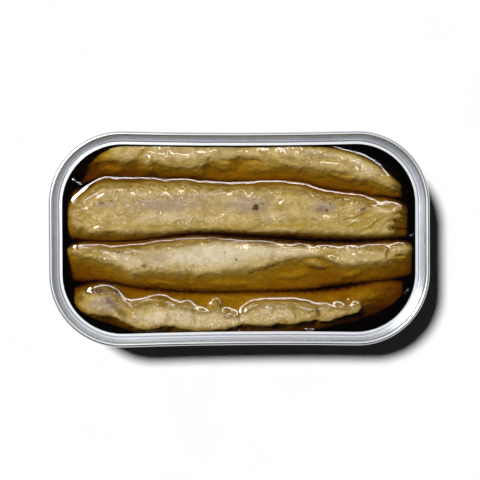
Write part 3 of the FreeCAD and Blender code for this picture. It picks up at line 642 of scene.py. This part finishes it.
def parting_line(name, column):
    """A column of a parting's points, its y or its press, as a line along X."""
    return through([(row[0], row[column]) for row in PARTINGS[name]])


def side_line(side, toward):
    """A fillet's side: its widest line, and the line near its neighbour that it stays short of."""
    if not isinstance(side, str):
        line = through(side)
        return line, line
    middle = parting_line(side, 1)
    press = parting_line(side, 2)
    return (lambda x: middle(x) + toward * press(x)), (lambda x: middle(x) - toward * 0.03)


def wall_half_width(x):
    """Half the width of the oil's outline at each x, inside the tin's waisted wall."""
    waist = OIL_WAIST * (1 - np.minimum(np.abs(x) / OIL_HALF_LENGTH, 1) ** 2)
    into_corner = np.clip(np.abs(x) - (OIL_HALF_LENGTH - OIL_CORNER), 0, OIL_CORNER)
    return OIL_HALF_WIDTH - waist - OIL_CORNER + np.sqrt(np.maximum(OIL_CORNER**2 - into_corner**2, 0))


def tint_masks(spec, x, y):
    """How strongly each tint shows."""
    masks = {}
    for tint in TINTS:
        masks[tint] = np.zeros(x.shape)
        for spot in spec["tints"].get(tint, []):
            masks[tint] = masks[tint] + lump(x, y, spot)
    return masks


def flesh_relief(x, y, seed, gleam):
    """Bumps, grains and strands of the flesh out of the oil, and coarser grains where it gleams."""
    bumps = BUMPS * noise(x, y, 1.3, seed + 3, 3) + GRAINS * grains(x, y, 0.9, seed + 5)
    strands = STRANDS * fibres(x, y, seed + 4, 30)
    return bumps + strands + gleam * GLEAM_GRAINS * (grains(x, y, 0.75, seed + 6) - 0.3)


def scallops(x, y, seed):
    """Blocks of muscle on a fillet's far left part: their wave from -1 to 1, and how much it shows."""
    wave = np.cos(2 * math.pi * (x + 0.45 * (y - 14) + 0.5 * noise(x, y, 6, seed + 9)) / BLOCK)
    return wave, smooth((y - 11.0) / 3.5) * smooth((10 - x) / 12)


def fillet_heights(spec, x, y):
    """A fillet's height before its sides are rounded off, over plan points, with its masks."""
    seed = 100 * int(spec["name"][-1])
    wander_x = x + WANDER * noise(x, y, 1.6, seed + 21, 2)
    wander_y = y + WANDER * noise(x, y, 1.6, seed + 22, 2)
    masks = tint_masks(spec, wander_x, wander_y)

    inside, facing = inside_by(x, y, rounded_outline(spec["lit"]))
    ragged = noise(x, y, 1.5, seed + 7, 3) + 0.5 * noise(x, y, 6.0, seed + 8)
    inside = inside + spec["ragged"] * ragged
    near = smooth(facing + 0.5)

    crown = through(spec["crown"])(x) + 0.20 * noise(x, y, 4.2, seed + 11, 2)
    brow = crown - BROW
    flank = through(spec["flank"])(x)
    if "deep" in spec:
        flank = mix(flank, spec["deep"], near)
    flank = flank + 0.35 * noise(x * 0.5, y, 2.6, seed, 2) + 0.12 * fibres(x, y, seed + 2, 4, 6.0, 0.8)
    drop = np.maximum(brow - flank, 0.5)
    slope = mix(FAR_SLOPE, spec["slope"], near)
    below = brow - drop * (1 - np.exp(-np.maximum(-inside, 0) * slope / drop))
    above = crown - BROW * (1 - np.clip(inside / BROW_WIDTH, 0, 1)) ** 2
    top = np.where(inside > 0, above, below)
    for spot in spec["lumps"]:
        top = top + lump(wander_x, wander_y, spot)

    lit = smooth(inside / 1.2 + 0.4)
    top = top + lit * flesh_relief(x, y, seed, masks["gleam"])
    if spec.get("scalloped"):
        wave, shown = scallops(x, y, seed)
        top = top + (0.13 * wave - 0.10) * shown
        masks["yellow"] = masks["yellow"] - 0.4 * wave * shown
    soaked = (1 - near) * smooth((spec["soaked"] - inside) / 1.5) + 0.5 * near * smooth((1.3 - inside) / 1.2)
    masks["amber"] = soaked * (0.9 + 0.5 * noise(x, y, 1.8, seed + 12, 2))
    masks["lit"] = lit
    return top, masks


def gap_mask(spec, x, across):
    """Painted shade where a flank meets its neighbour's, the less so the harder they are pressed together.
    """
    mask = np.zeros(x.shape)
    for side, sign in ((spec["far"], 1), (spec["near"], -1)):
        if isinstance(side, str):
            close = smooth((sign * across - 0.72) / 0.26)
            mask = np.maximum(mask, close * smooth((0.8 - parting_line(side, 2)(x)) / 0.7))
    return mask


def build_fillet(spec):
    """A closed skin of rings round the fillet, each an arch over the flesh and a flatter one under it."""
    low, high = spec["ends"]
    half_length = (high - low) / 2
    along, end_share = superellipse(spec["squareness"], half_length, FISH_MIDDLE - FISH_FLOOR, FISH_MESH)
    across, share = superellipse(ARCH_SQUARENESS, FISH_HALF, OIL_LEVEL - FISH_MIDDLE, FISH_MESH)
    under, under_share = superellipse(BELLY_SQUARENESS, FISH_HALF, FISH_MIDDLE - FISH_FLOOR, 3 * FISH_MESH)
    across = np.concatenate([across, -under[1:-1]])[None, :]
    share = np.concatenate([share, -under_share[1:-1]])[None, :]
    squeeze = np.maximum(end_share, 0.02)[:, None]
    x = (low + half_length - along * half_length)[:, None] + 0 * across
    far, far_stop = side_line(spec["far"], 1)
    near, near_stop = side_line(spec["near"], -1)
    y = (far(x) + near(x)) / 2 + (far(x) - near(x)) / 2 * across * squeeze
    y = np.clip(y, near_stop(x), far_stop(x))
    is_top = share >= 0
    size = np.abs(share) * squeeze
    height, masks = fillet_heights(spec, x, y)
    top = FISH_MIDDLE + (height - FISH_MIDDLE) * size
    belly = FISH_MIDDLE - (FISH_MIDDLE - FISH_FLOOR) * size
    z = np.where(is_top, top, belly)
    reach = wall_half_width(x) - WALL_TAPER * (OIL_LEVEL - z) - WALL_GAP
    y = np.clip(y, -reach, reach)

    tips = np.array([[x[c, 0], y[c].mean(), FISH_MIDDLE] for c in (0, -1)])
    points = np.concatenate([np.stack([x, y, z], -1).reshape(-1, 3), tips])
    rings = np.arange(x.size).reshape(x.shape).tolist()
    faces = [face for first, second in zip(rings, rings[1:]) for face in band(first, second)]
    faces += fan(rings[0], x.size) + fan(rings[-1][::-1], x.size + 1)
    fish = new_mesh(spec["name"] + "_flesh", points, faces)
    masks = {name: np.where(is_top, mask * smooth(size * 3 - 1.5), 0) for name, mask in masks.items()}
    # painted shade in the gaps between neighbouring fillets
    masks["gap"] = gap_mask(spec, x, across)
    for name, mask in masks.items():
        store_mask(fish.data, name, np.append(mask, [0, 0]))
    return fish, points, faces


# ------------------------------------------------ the oil


def settle(fish_top, wall):
    """The oil's surface: a film at its level, held up by the fish and the wall, and flat away from them."""
    pull = (CAPILLARY / FILM_MESH) ** 2
    free = np.isnan(wall)
    h = np.where(free, np.maximum(fish_top, OIL_LEVEL), wall)
    free[0, :] = free[-1, :] = free[:, 0] = free[:, -1] = False
    parity = np.indices(h.shape).sum(0) % 2
    for _ in range(FILM_SWEEPS):
        for colour in (0, 1):
            around = np.zeros_like(h)
            around[1:-1, 1:-1] = h[2:, 1:-1] + h[:-2, 1:-1] + h[1:-1, 2:] + h[1:-1, :-2]
            goal = (pull * around + OIL_LEVEL) / (4 * pull + 1)
            moved = np.maximum(h + OVER_RELAX * (goal - h), fish_top)
            h = np.where(free & (parity == colour), moved, h)
    return h


def look_down(trees, xs, ys):
    """The highest point of the fillets over a plan grid, or far below where there is none."""
    found = np.full((len(xs), len(ys)), -50.0)
    down = Vector((0, 0, -1))
    for tree, low, high in trees:
        for a, x in enumerate(xs):
            if not low[0] <= x <= high[0]:
                continue
            for b, y in enumerate(ys):
                if low[1] <= y <= high[1]:
                    hit = tree.ray_cast(Vector((x, y, 60)), down)[0]
                    if hit is not None and hit.z > found[a, b]:
                        found[a, b] = hit.z
    return found


def blur(values, times):
    """A grid's values, spread to their neighbours so many times."""
    for _ in range(times):
        padded = np.pad(values, 1, mode="edge")
        beside = padded[2:, 1:-1] + padded[:-2, 1:-1] + padded[1:-1, 2:] + padded[1:-1, :-2]
        values = (padded[1:-1, 1:-1] * 4 + beside) / 8
    return values


def sample(grid, xs, ys, x, y):
    """A grid's values between its lines."""
    u = np.clip((x - xs[0]) / (xs[1] - xs[0]), 0, len(xs) - 1.001)
    v = np.clip((y - ys[0]) / (ys[1] - ys[0]), 0, len(ys) - 1.001)
    i, j = u.astype(int), v.astype(int)
    u, v = u - i, v - j
    return mix(mix(grid[i, j], grid[i + 1, j], u), mix(grid[i, j + 1], grid[i + 1, j + 1], u), v)


def oil_film(trees):
    """Heights of the oil's surface over a plan grid, and the grid's lines."""
    xs = np.arange(-OIL_HALF_LENGTH - 1, OIL_HALF_LENGTH + 1, FILM_MESH)
    ys = np.arange(-oil_high.y - 1, oil_high.y + 1, FILM_MESH)
    x, y = np.meshgrid(xs, ys, indexing="ij")
    fish_top = look_down(trees, xs, ys)
    inside = (np.abs(x) < OIL_HALF_LENGTH) & (np.abs(y) < wall_half_width(x))
    creep = WALL_RISE + 0.25 * noise(x, y, 9, 5, 2)
    film = settle(fish_top, np.where(inside, np.nan, OIL_LEVEL + creep))
    touching = (fish_top > film - 1e-4).astype(float)
    clear = np.maximum(smooth((blur(touching, 2) - 0.5) * 2), smooth((blur(touching, 50) - 0.5) * 4))
    film = blur(film, 1) - FILM_SINK * clear
    for bead in BEADS:
        film = film + lump(x, y, bead)
    return film, xs, ys


def build_oil(film, xs, ys):
    """The film as a fine mesh, closed by rings down the tapering wall and a flat underside."""
    columns = int(2 * OIL_HALF_LENGTH / OIL_MESH)
    rows = int(2 * oil_high.y / OIL_MESH)
    x = np.linspace(-OIL_HALF_LENGTH, OIL_HALF_LENGTH, columns)[:, None] + np.zeros(rows)[None, :]
    y = wall_half_width(x) * np.linspace(-1, 1, rows)[None, :]
    points = [np.stack([x, y, sample(film, xs, ys, x, y)], -1).reshape(-1, 3)]
    at = np.arange(x.size).reshape(x.shape)
    faces = np.stack([at[:-1, :-1], at[1:, :-1], at[1:, 1:], at[:-1, 1:]], -1).reshape(-1, 4).tolist()
    rim = np.concatenate([at[:, 0], at[-1, 1:], at[-2::-1, -1], at[0, -2:0:-1]])
    edge = points[0][rim]
    above = rim.tolist()
    count = x.size
    for height, inset in OIL_SIDE:
        shrink = [1 - inset / OIL_HALF_LENGTH, 1 - inset / oil_high.y]
        points.append(np.column_stack([edge[:, :2] * shrink, np.full(len(rim), height)]))
        ring = list(range(count, count + len(rim)))
        faces += zip(above, ring, ring[1:] + ring[:1], above[1:] + above[:1])
        above = ring
        count += len(rim)
    points.append(np.array([[0, 0, OIL_SIDE[-1][0]]]))
    faces += fan(above, count)
    return new_mesh("oil_surface", np.concatenate(points), faces)


# ------------------------------------------------ materials

FLESH = {
    "tan": (0.41, 0.265, 0.068),
    "light_tan": (0.63, 0.465, 0.18),
    "cream": (0.75, 0.64, 0.45),
    "mauve": (0.41, 0.305, 0.20),
    "yellow": (0.43, 0.285, 0.038),
    "amber": (0.25, 0.145, 0.008),
    "dark_grain": (0.30, 0.185, 0.045),
    "strand": (0.76, 0.62, 0.34),
    # painted glints: near-white specks that stand in for sparkle on wet grains
    "painted_glint": (0.95, 0.91, 0.80),
    "sunk": (0.36, 0.22, 0.05),
    "light_sunk": (0.54, 0.37, 0.10),
    "brown": (0.10, 0.05, 0.02),
    # painted shade: near-black brown laid deep between neighbouring fillets
    "gap": (0.09, 0.018, 0.007),
}
OIL_TINT = (0.856, 0.761, 0.056, 1)
OIL_DENSITY = 900.0
OIL_IOR = 1.47
METAL = (0.69, 0.705, 0.73)
METAL_ROUGHNESS = (0.17, 0.24)
METAL_AS_SCATTERER = (0.05, 0.05, 0.05)


def flesh_material():
    mat, tree = material("cooked_mackerel")
    place = node(tree, "ShaderNodeTexCoord").outputs["Object"]
    mask = {name: node(tree, "ShaderNodeAttribute", attribute_name=name).outputs["Fac"] for name in MASKS}
    blotch = noise_texture(tree, place, 280, 4, 0.6, 0.6)
    patch = noise_texture(tree, place, 650, 4, 0.6, 0.3)
    fine = noise_texture(tree, place, 1500, 5, 0.75)
    speck = noise_texture(tree, place, 1800, 2, 0.6)
    strand = noise_texture(tree, stretched(tree, place, (480, 1250, 800), 0.45), 1.0, 4, 0.6)

    def tint(colour, name, least):
        """Lays a tint over the colour where its mask and the patches together allow."""
        allowed = ramp(tree, patch, 0.30, 0.62, least, 1.3)
        reach = math_node(tree, "MULTIPLY", mask[name], allowed, clamp=True)
        return blend_colour(tree, reach, colour, FLESH[name])

    def on_grains(texture, low, high, plain, grainy):
        """Where a fine texture is high, more so on the grainy parts."""
        share = ramp(tree, mask["gleam"], 0.0, 1.0, plain, grainy)
        return math_node(tree, "MULTIPLY", ramp(tree, texture, low, high), share, clamp=True)

    colour = blend_colour(tree, ramp(tree, blotch, 0.38, 0.62), FLESH["tan"], FLESH["light_tan"])
    for name, least in (("cream", 0.45), ("mauve", 0.6), ("yellow", 0.6), ("amber", 0.8)):
        colour = tint(colour, name, least)
    off_cream = ramp(tree, mask["cream"], 0.0, 0.8, 1.0, 0.25)
    dark = math_node(tree, "MULTIPLY", on_grains(fine, 0.48, 0.60, 0.3, 0.8), off_cream, clamp=True)
    colour = blend_colour(tree, dark, colour, FLESH["dark_grain"])
    colour = blend_colour(tree, ramp(tree, strand, 0.50, 0.66, 0.0, 0.3), colour, FLESH["strand"])
    # Painted glints: near-white specks laid into the colour on dry, grainy flesh, beside the coat's real
    # glints.
    painted_glint_reach = math_node(tree, "MULTIPLY", on_grains(speck, 0.52, 0.585, 0.06, 1.0), mask["dry"], clamp=True)
    colour = blend_colour(tree, painted_glint_reach, colour, FLESH["painted_glint"])
    sunk = blend_colour(tree, ramp(tree, strand, 0.3, 0.7), FLESH["sunk"], FLESH["light_sunk"])
    colour = blend_colour(tree, mask["lit"], sunk, colour)
    # Brown lays dark spots of the flesh; the gap tint is painted shade between neighbouring fillets.
    for name in ("brown", "gap"):
        colour = tint(colour, name, 0.45)

    bare = math_node(tree, "SUBTRACT", 1.0, mask["amber"], clamp=True)
    wet = math_node(tree, "ADD", math_node(tree, "MULTIPLY", mask["gleam"], 0.9), 0.12, clamp=True)
    wet = math_node(tree, "MULTIPLY", wet, bare, clamp=True)
    look = {
        "Base Color": colour,
        "Roughness": ramp(tree, mask["dry"], 0.0, 1.0, 0.95, 0.55),
        "Specular IOR Level": 0.2,
        "Normal": bumped(tree, fine, 0.0003),
        "Coat Weight": math_node(tree, "MULTIPLY", mask["dry"], wet),
        "Coat Roughness": 0.07,
        "Coat Normal": bumped(tree, speck, 0.00042),
    }
    output(tree, {"Surface": node(tree, "ShaderNodeBsdfPrincipled", look).outputs[0]})
    return mat


def oil_material():
    """Clear glass that absorbs with depth; scattered light and the lamps' shadows pass straight through."""
    mat, tree = material("brown_oil")
    path = node(tree, "ShaderNodeLightPath")
    place = node(tree, "ShaderNodeTexCoord").outputs["Object"]
    skin = bumped(tree, noise_texture(tree, place, 300, 2), 0.00005, 0.05)
    glass = node(
        tree,
        "ShaderNodeBsdfGlass",
        {"Color": (1, 1, 1, 1), "Roughness": 0.0, "IOR": OIL_IOR, "Normal": skin},
    )
    clear = node(tree, "ShaderNodeBsdfTransparent", {"Color": (1, 1, 1, 1)}).outputs[0]
    surface = shader_mix(tree, path.outputs["Is Diffuse Ray"], glass.outputs[0], clear)
    surface = shader_mix(tree, path.outputs["Is Shadow Ray"], surface, clear)
    depth = node(tree, "ShaderNodeVolumeAbsorption", {"Color": OIL_TINT, "Density": OIL_DENSITY})
    output(tree, {"Surface": surface, "Volume": depth.outputs[0]})
    return mat


def metal_material():
    """Bright drawn tin, dim for light that other things scatter so that the floor keeps its dark shadow."""
    mat, tree = material("bright_tin")
    place = node(tree, "ShaderNodeTexCoord").outputs["Object"]
    cloud = noise_texture(tree, place, 90, 3)
    grain = noise_texture(tree, stretched(tree, place, (150, 2500, 2500)), 1.0, 3)
    colour = blend_colour(tree, ramp(tree, cloud, 0.3, 0.7), METAL, tuple(0.94 * t for t in METAL))
    scattered = node(tree, "ShaderNodeLightPath").outputs["Is Diffuse Ray"]
    look = {
        "Base Color": blend_colour(tree, scattered, colour, METAL_AS_SCATTERER),
        "Metallic": 1.0,
        "Roughness": ramp(tree, math_node(tree, "ADD", cloud, grain), 0.7, 1.3, *METAL_ROUGHNESS),
        "Normal": bumped(tree, grain, 0.00003, 0.08),
    }
    output(tree, {"Surface": node(tree, "ShaderNodeBsdfPrincipled", look).outputs[0]})
    return mat


def floor_material():
    mat, tree = material("white_floor")
    dust = noise_texture(tree, node(tree, "ShaderNodeTexCoord").outputs["Object"], 40, 2)
    colour = blend_colour(tree, ramp(tree, dust, 0.3, 0.7), (0.97, 0.97, 0.97), (0.985, 0.985, 0.985))
    output(tree, {"Surface": node(tree, "ShaderNodeBsdfDiffuse", {"Color": colour}).outputs[0]})
    return mat


# ------------------------------------------------ make the part

flesh = flesh_material()
trees = []
fillets = []
for spec in FILLETS:
    fish, points, faces = build_fillet(spec)
    fillets.append((fish, points))
    fish.data.materials.append(flesh)
    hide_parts(spec["name"])
    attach(fish, "root")
    trees.append((BVHTree.FromPolygons(points.tolist(), faces), points.min(0), points.max(0)))

film = oil_film(trees)
for fish, points in fillets:
    above = points[:, 2] - sample(*film, points[:, 0], points[:, 1])
    store_mask(fish.data, "dry", smooth(above / 0.15 + 0.3))
oil = build_oil(*film)
oil.data.materials.append(oil_material())
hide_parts("oil")
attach(oil, "root")

tin_metal = metal_material()
tin = [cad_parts[name] for name in ("can_body", "lid_ring")]
for part in tin:
    part.data.materials.clear()
    part.data.materials.append(tin_metal)

# ------------------------------------------------ floor, light, view

VIEW_DISTANCE = 350.0
VIEW_AIM = (-0.10, -0.33, 23.0)
VIEW_LEFT = math.radians(2.6)  # how far the camera stands to the left of straight above, and behind it
VIEW_BACK = math.radians(1.0)
VIEW_TURN = math.radians(-0.25)
LENS = 95.25
SENSOR = 36.0

# What follows is in metres.
FLOOR_HALF = 3.0
FLOOR_HEIGHT = -0.00005
SUN_FROM = (-0.361, 0.295, 1)
SUN_SOFTNESS = math.radians(8)
SUN_POWER = 3.5
STRIP_SIZE = (1.3, 0.08)
STRIP_PLACE = (0.0, 0.325, 0.9)
STRIP_LEVEL = 16.0
PANEL_SIZE = (1.0, 1.0)
PANEL_PLACE = (-0.06, 0.2, 1.0)
PANEL_LEVEL = 1.1
AMBIENT = 0.012  # how bright the world is for what the floor and the fish scatter
HORIZON = 0.5  # how bright it is in mirrors, low down and high up
ZENITH = 0.03
NEAR_SKY = 0.6  # and how that changes from the near side to the far side
FAR_SKY = 2.0


def add_floor():
    mesh = bpy.data.meshes.new("floor")
    signs = [(-1, -1), (1, -1), (1, 1), (-1, 1)]
    corners = [(FLOOR_HALF * x, FLOOR_HALF * y, FLOOR_HEIGHT) for x, y in signs]
    mesh.from_pydata(corners, [], [(0, 1, 2, 3)])
    mesh.materials.append(floor_material())
    floor = add_object("floor", mesh)


def add_sun():
    lamp = bpy.data.lights.new("key", "SUN")
    lamp.energy = SUN_POWER
    lamp.angle = SUN_SOFTNESS
    add_object("key", lamp).rotation_euler = Vector(SUN_FROM).to_track_quat("Z", "Y").to_euler()


def add_softbox(name, size, place, tilt, level, lit):
    """A soft lamp that is seen in mirrors only, and only by the things that it is for."""
    lamp = bpy.data.lights.new(name, "AREA")
    lamp.shape = "RECTANGLE"
    lamp.size, lamp.size_y = size
    lamp.energy = level * math.pi * size[0] * size[1]
    softbox = add_object(name, lamp)
    softbox.location = place
    softbox.rotation_euler = (tilt, 0, 0)
    softbox.visible_diffuse = False
    softbox.visible_camera = False
    receivers = bpy.data.collections.new("lit_by_" + name)
    for thing in lit:
        receivers.objects.link(thing)
    softbox.light_linking.receiver_collection = receivers


def add_world():
    """White behind the part, a studio's gradient in mirrors, and nearly dark for scattered light."""
    world = bpy.data.worlds.new("studio")
    bpy.context.scene.world = world
    world.use_nodes = True
    sky = world.node_tree
    sky.nodes.clear()
    path = node(sky, "ShaderNodeLightPath").outputs
    way = node(sky, "ShaderNodeTexCoord").outputs["Generated"]
    toward = node(sky, "ShaderNodeSeparateXYZ", {0: way}).outputs
    gradient = ramp(sky, toward[2], 0.1, 0.8, HORIZON, ZENITH)
    gradient = math_node(sky, "MULTIPLY", gradient, ramp(sky, toward[1], -1.0, 1.0, NEAR_SKY, FAR_SKY))
    mirrored = math_node(sky, "MAXIMUM", path["Is Glossy Ray"], path["Is Transmission Ray"])
    mirrored = math_node(sky, "MULTIPLY", mirrored, math_node(sky, "LESS_THAN", path["Diffuse Depth"], 0.5))
    strength = math_node(sky, "MULTIPLY", mirrored, math_node(sky, "SUBTRACT", gradient, AMBIENT))
    strength = math_node(sky, "ADD", strength, AMBIENT)
    seen = math_node(sky, "MULTIPLY", path["Is Camera Ray"], 1.0 - AMBIENT)
    strength = math_node(sky, "ADD", strength, seen, clamp=True)
    back = node(sky, "ShaderNodeBackground", {"Color": (1, 1, 1, 1), "Strength": strength})
    output(sky, {"Surface": back.outputs[0]}, "ShaderNodeOutputWorld")


def add_camera():
    """Almost straight above the tin, a little to the left and behind."""
    lens = bpy.data.cameras.new("camera")
    lens.sensor_width = SENSOR
    lens.lens = LENS
    lens.clip_start = 0.01
    camera = add_object("camera", lens)
    away = Vector((-math.tan(VIEW_LEFT), math.tan(VIEW_BACK), 1)).normalized()
    camera.location = (Vector(VIEW_AIM) + VIEW_DISTANCE * away) * MM
    right = (-away).cross(Vector((0, 1, 0))).normalized()
    up = right.cross(-away)
    c, s = math.cos(VIEW_TURN), math.sin(VIEW_TURN)
    camera.rotation_euler = Matrix((c * right + s * up, c * up - s * right, away)).transposed().to_euler()
    bpy.context.scene.camera = camera


add_floor()
add_sun()
strip_tilt = math.atan2(-STRIP_PLACE[1], STRIP_PLACE[2])
add_softbox("strip", STRIP_SIZE, STRIP_PLACE, strip_tilt, STRIP_LEVEL, [oil] + [fish for fish, _ in fillets])
add_softbox("panel", PANEL_SIZE, PANEL_PLACE, 0.0, PANEL_LEVEL, tin)
add_world()
add_camera()
bpy.context.scene.view_settings.view_transform = "Standard"
